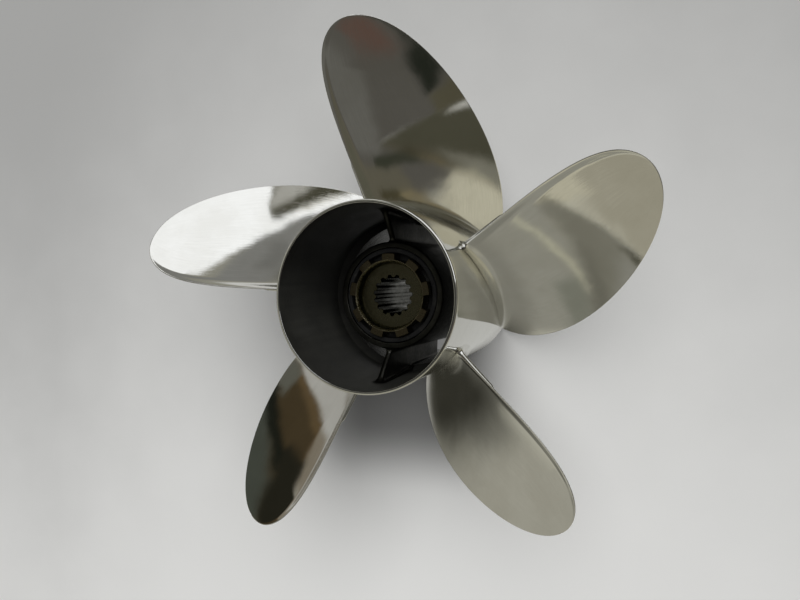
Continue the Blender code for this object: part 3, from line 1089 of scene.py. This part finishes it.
def pale_floor(name, glow):
    """White paper, darker towards the back and both sides in painted shade, and it glows a little: painted
    light, standing in for light from below.

    A painted shadow makes it darkest close to the hub between the two nearest blades.
    """
    material, tree, shader, place = new_material(name, metallic=0.0)
    shader.inputs["Roughness"].default_value = PAPER_ROUGHNESS
    across = split(tree, place)
    # Painted shade: the paper darkens towards both sides and the back, then evens out far away.
    aside = calculate(tree, "MULTIPLY", across["X"], across["X"])
    aside = calculate(tree, "MINIMUM", aside, SIDE_LIMIT)
    white = calculate(tree, "MULTIPLY_ADD", aside, -SIDE_FALL, PAPER_WHITENESS)
    back = calculate(tree, "MAXIMUM", calculate(tree, "MINIMUM", across["Y"], BACK_LIMIT), -BACK_LIMIT)
    white = calculate(tree, "MULTIPLY_ADD", back, -BACK_FALL, white)
    mottle = calculate(tree, "SUBTRACT", noise(tree, place, scale=14.0, detail=4.0), 0.5)
    white = calculate(tree, "MULTIPLY_ADD", mottle, MOTTLE, white)
    far = remap(tree, from_axis(tree, across), PAPER_EVEN_FROM, PAPER_EVEN_TO, 0.0, 1.0)
    white = calculate(tree, "MULTIPLY", white, calculate(tree, "SUBTRACT", 1.0, far))
    white = calculate(tree, "MULTIPLY_ADD", far, FAR_WHITENESS, white)
    paper = blend_colour(tree, remap(tree, white, 0.0, 1.0, 0.0, 1.0), PAPER_IN_PAINTED_SHADE, PAPER_IN_FULL_LIGHT)
    # Painted shadow: black blended in close to the hub, between the two nearest blades.
    beside = calculate(tree, "ABSOLUTE", calculate(tree, "SUBTRACT", across["X"], SHADE_MIDDLE))
    beside = remap(tree, beside, SHADE_HALF_WIDTH, SHADE_HALF_WIDTH + SHADE_FADE, 1.0, 0.0)
    below = remap(tree, across["Y"], -SHADE_REACH, SHADE_FADE - SHADE_REACH, 0.0, SHADE_DEPTH)
    below = calculate(tree, "MULTIPLY", below, remap(tree, across["Y"], -BARREL_RADIUS, 0.0, 1.0, 0.0))
    shade = calculate(tree, "MULTIPLY", beside, below)
    tree.links.new(blend_colour(tree, shade, paper, (0.0, 0.0, 0.0)), shader.inputs["Base Color"])
    feed(tree, shader.inputs["Emission Color"], GLOW_COLOUR)
    shader.inputs["Emission Strength"].default_value = glow
    return material


# Each card of light: the azimuth of its middle and its half width, the angle of its middle from the shaft
# axis and its half height, its tilt, its lean, how soft its edge is, and its colour. Angles in degrees
CARDS = {
    "sheet_below": (0, 200, 180, 38, 0.0, 0.0, 6, (0.50, 0.50, 0.475)),
    "pale_card_left": (250, 32, 72, 14, 0.0, 0.0, 3, (0.41, 0.39, 0.31)),
    "light_card_left": (250, 17, 83.4, 5.4, 0.0, 0.0, 2.5, (0.58, 0.565, 0.47)),
    "grey_strip_left": (231, 13, 94, 5, 0.15, 0.0, 3, (0.235, 0.24, 0.20)),
    "light_strip_left": (256, 20, 94.2, 1.2, 0.22, 0.0, 0.8, (0.50, 0.49, 0.38)),
    "dim_card_low_left": (250, 40, 124, 10, 0.0, 0.0, 6, (0.25, 0.245, 0.21)),
    "pale_card_far_left": (190, 32, 82, 22, 0.0, 0.0, 5, (0.43, 0.42, 0.36)),
    "pale_strip_far_left": (217, 5, 98, 18, 0.0, 0.0, 3, (0.55, 0.54, 0.46)),
    "black_flag_low_left": (194, 28, 136.6, 32, 0.5, 0.0, 15, (0.036, 0.035, 0.027)),
    "pale_card_low_left": (140, 32, 106, 30, 0.5, 0.0, 3, (0.46, 0.455, 0.43)),
    "white_card_low": (119, 21, 118, 16, 0.0, 0.0, 3, (0.72, 0.72, 0.71)),
    "tan_strip": (160, 6, 94, 9, 0.5, 0.0, 2, (0.24, 0.21, 0.165)),
    "brown_card_edge": (134, 24, 79, 13, 0.52, 0.0, 0.5, (0.115, 0.080, 0.040)),
    "brown_card": (133, 24, 74, 14, 0.42, 0.0, 0.7, (0.064, 0.047, 0.025)),
    "grey_card_high": (125, 20, 64, 8, 0.1, 0.0, 2, (0.068, 0.075, 0.062)),
    "black_strip": (134, 26, 75.5, 2.3, 0.22, 0.0, 0.8, (0.013, 0.0145, 0.0105)),
    "black_strip_upright": (152, 7, 76, 11, 0.6, 0.0, 1.4, (0.020, 0.019, 0.013)),
    "grey_strip": (116, 7, 78, 4, 0.5, 0.0, 1.0, (0.12, 0.12, 0.10)),
    "dim_card_right": (327, 52, 63, 29, 0.5, 0.0, 2, (0.105, 0.10, 0.088)),
    "grey_card_right": (358, 10, 66, 15, 0.0, 0.4, 3, (0.145, 0.142, 0.128)),
    "dim_card_low_right": (54, 41, 119, 29, 0.0, 0.0, 3, (0.115, 0.112, 0.082)),
    "olive_card_right": (0, 14, 101, 15, 0.0, 0.0, 2.5, (0.127, 0.118, 0.088)),
    "dark_strip_right": (359, 8, 102, 3.5, 0.0, 0.0, 1.5, (0.060, 0.053, 0.027)),
    "tan_strip_right": (346, 9, 103, 4.5, 0.0, 0.0, 1.5, (0.23, 0.195, 0.115)),
    "black_strip_right": (344, 15, 82, 2.6, 0.15, 0.0, 0.6, (0.043, 0.046, 0.032)),
    "warm_card_front": (304, 27, 96, 15, 0.12, 1.1, 0.7, (0.585, 0.56, 0.44)),
    "black_card_front": (309, 9, 53, 4.5, 0.3, 0.0, 1.0, (0.020, 0.023, 0.017)),
    "brown_card_front": (327, 9, 45, 5, 0.0, 0.0, 1.5, (0.125, 0.080, 0.064)),
    "olive_strip_front": (305, 11, 62, 4, 0.15, 0.0, 1.0, (0.098, 0.090, 0.060)),
    "grey_card_under_softbox": (68, 32, 81, 11, 0.1, 0.0, 1.5, (0.25, 0.25, 0.24)),
    "dark_strip_under_softbox": (78, 10, 84, 4, 0.3, 0.0, 3, (0.20, 0.20, 0.19)),
    "white_strip_under_softbox": (55, 15, 92, 8.5, 0.12, 0.0, 1.5, (1.35, 1.35, 1.33)),
    "black_spot_right": (3, 6, 42, 4.5, 0.0, 0.0, 1.5, (0.03, 0.03, 0.025)),
    "softbox": (51.5, 39.5, 56, 18, -0.17, 0.0, 0.6, (1.26, 1.28, 1.31)),
    "dim_card_overhead": (0, 200, 0, 37, 0.0, 0.0, 7, (0.055, 0.055, 0.050)),
}
BETWEEN_CARDS = (0.33, 0.325, 0.28)
CARD_SIZES = ("Middle", "Half Width", "Height", "Half Height", "Tilt", "Lean", "Edge")
CARD_WARP = 1.4
SOFT_LIGHT = (0.11, 0.11, 0.11)
BACKDROP = (0.62, 0.62, 0.61)


def card_group():
    """The share of a soft-edged card that a direction meets."""
    titles = ("Azimuth", "Polar", *CARD_SIZES)
    tree = node_tree("soft_card", dict.fromkeys(titles, "Float"), {"Share": "Float"})
    given = tree.nodes.new("NodeGroupInput").outputs
    off = calculate(tree, "SUBTRACT", given["Azimuth"], given["Middle"])
    off = calculate(tree, "WRAP", off, 180.0, -180.0)
    line = calculate(tree, "MULTIPLY_ADD", off, given["Tilt"], given["Height"])
    up = calculate(tree, "SUBTRACT", given["Polar"], line)
    off = calculate(tree, "SUBTRACT", off, calculate(tree, "MULTIPLY", up, given["Lean"]))
    shares = []
    for value, half in ((off, given["Half Width"]), (up, given["Half Height"])):
        full = calculate(tree, "SUBTRACT", half, given["Edge"])
        gone = calculate(tree, "ADD", half, given["Edge"])
        shares.append(remap(tree, calculate(tree, "ABSOLUTE", value), full, gone, 1.0, 0.0))
    share = calculate(tree, "MULTIPLY", *shares)
    tree.links.new(share, tree.nodes.new("NodeGroupOutput").inputs["Share"])
    return tree


world = bpy.data.worlds.new("studio")
bpy.context.scene.world = world
world.use_nodes = True
sky = world.node_tree
look = sky.nodes.new("ShaderNodeTexCoord").outputs["Generated"]
way = split(sky, look)
azimuth = calculate(sky, "DEGREES", calculate(sky, "ARCTAN2", way["Y"], way["X"]))
polar = calculate(sky, "DEGREES", calculate(sky, "ARCCOSINE", way["Z"]))
uneven = calculate(sky, "SUBTRACT", noise(sky, look, scale=5.0, detail=2.0), 0.5)
azimuth = calculate(sky, "MULTIPLY_ADD", uneven, 2 * CARD_WARP, azimuth)
polar = calculate(sky, "MULTIPLY_ADD", uneven, 2 * CARD_WARP, polar)
soft_card = card_group()
seen = BETWEEN_CARDS
for name, (*card_sizes, colour) in CARDS.items():
    settings = {"node_tree": soft_card, "label": name}
    card = add_node(sky, "ShaderNodeGroup", settings, Azimuth=azimuth, Polar=polar)
    for title, size in zip(CARD_SIZES, card_sizes):
        card.inputs[title].default_value = size
    seen = blend_colour(sky, card.outputs["Share"], seen, colour)
path = sky.nodes.new("ShaderNodeLightPath").outputs
is_soft = calculate(sky, "MAXIMUM", path["Is Diffuse Ray"], path["Diffuse Depth"], clamp=True)
light = blend_colour(sky, is_soft, seen, SOFT_LIGHT)
light = blend_colour(sky, path["Is Camera Ray"], light, BACKDROP)
sky.links.new(light, sky.nodes["Background"].inputs["Color"])
bpy.context.scene.view_settings.view_transform = "Standard"


def floor_piece(name, inner, outer, glow):
    """A flat ring of floor, or a disc where inner is 0. The disc is what the open hub looks down on."""
    bm = bmesh.new()
    angles = [2 * pi * k / FLOOR_STEPS for k in range(FLOOR_STEPS)]
    rim = [bm.verts.new((outer * cos(a), outer * sin(a), 0.0)) for a in angles]
    if inner:
        hole = [bm.verts.new((inner * cos(a), inner * sin(a), 0.0)) for a in angles]
        for k in range(FLOOR_STEPS):
            bm.faces.new((hole[k - 1], rim[k - 1], rim[k], hole[k]))
    else:
        bm.faces.new(rim)
    mesh = mesh_of(name, bm)
    mesh.materials.append(pale_floor(name, glow))
    piece = put_in_scene(name, mesh)
    return piece


# The floor glows, most under the hub and the shaft hole: painted light for the open hub and the toothed hole
# to look down on.
floor_piece("floor_round_propeller", BARREL_RADIUS, FLOOR_HALF, FLOOR_GLOW).visible_glossy = False
floor_piece("floor_under_hub", HUB_SHAFT_HOLE, BARREL_RADIUS, HUB_GLOW)
floor_piece("floor_under_shaft_hole", 0.0, HUB_SHAFT_HOLE, SHAFT_HOLE_GLOW)

lamp = bpy.data.lights.new("key_lamp", "SUN")
lamp.angle = LAMP_SPREAD
lamp.energy = LAMP_POWER
lamp_stand = put_in_scene("key_lamp", lamp)
lamp_stand.matrix_world = Vector(LAMP_WAY).to_track_quat("Z", "Y").to_matrix().to_4x4()
lamp_stand.visible_glossy = False

lens = bpy.data.cameras.new("photo_camera")
lens.sensor_width = SENSOR_WIDTH
lens.lens = SENSOR_WIDTH * FOCAL_PIXELS / IMAGE_WIDTH
lens.clip_start = NEAREST_SEEN
camera = put_in_scene("photo_camera", lens)
turned_to = Matrix((CAMERA_RIGHT, CAMERA_UP, CAMERA_BACK)).transposed().to_4x4()
camera.matrix_world = Matrix.Translation(CAMERA_PLACE) @ turned_to
bpy.context.scene.camera = camera
